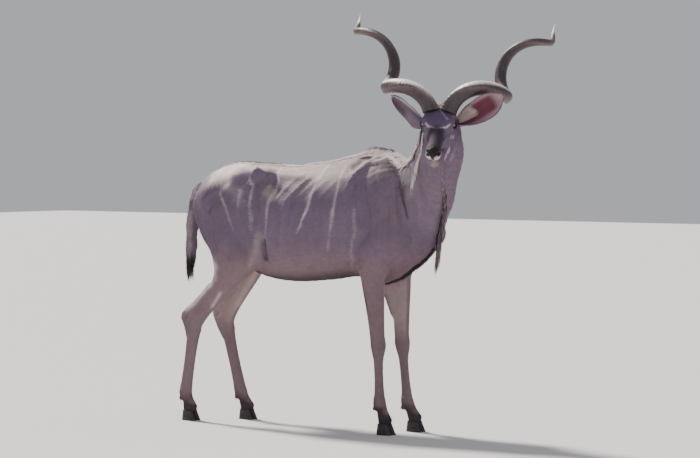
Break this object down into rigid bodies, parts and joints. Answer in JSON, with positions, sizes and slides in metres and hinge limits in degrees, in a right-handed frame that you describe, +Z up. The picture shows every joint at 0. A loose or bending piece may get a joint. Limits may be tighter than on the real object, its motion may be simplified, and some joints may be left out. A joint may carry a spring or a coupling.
{
  "type": "greater kudu",
  "caption": "Life-size greater kudu bull standing still, head turned to its right, with long spiral horns, white side stripes, a nape mane and a throat fringe.",
  "frame": {"origin": "middle of the box round the animal, at the ground under its hooves", "axes": "+X the way the body faces, +Y the animal's left, +Z up"},
  "size_m": [2.0383, 1.1009, 2.1081],
  "materials": {
    "coat": "matte short hair",
    "dark_coat": "matte short hair",
    "leg_coat": "matte short hair",
    "horn": "ridged horn, half matt",
    "hoof": "hard horn, half matt",
    "eye": "wet and glossy"
  },
  "bodies": {
    "root": {"head": "dark_coat", "neck": "coat", "trunk": "coat", "tail": "coat", "right_foreleg_upper": "coat", "right_foreleg_lower": "leg_coat", "right_hindleg_upper": "coat", "right_hindleg_lower": "leg_coat", "right_horn": "horn", "right_ear": "coat", "right_eye": "eye", "right_fore_hoof_inner": "hoof", "right_fore_hoof_outer": "hoof", "right_hind_hoof_inner": "hoof", "right_hind_hoof_outer": "hoof", "left_foreleg_upper": "coat", "left_foreleg_lower": "leg_coat", "left_hindleg_upper": "coat", "left_hindleg_lower": "leg_coat", "left_horn": "horn", "left_ear": "coat", "left_eye": "eye", "left_fore_hoof_inner": "hoof", "left_fore_hoof_outer": "hoof", "left_hind_hoof_inner": "hoof", "left_hind_hoof_outer": "hoof"}
  },
  "joints": []
}
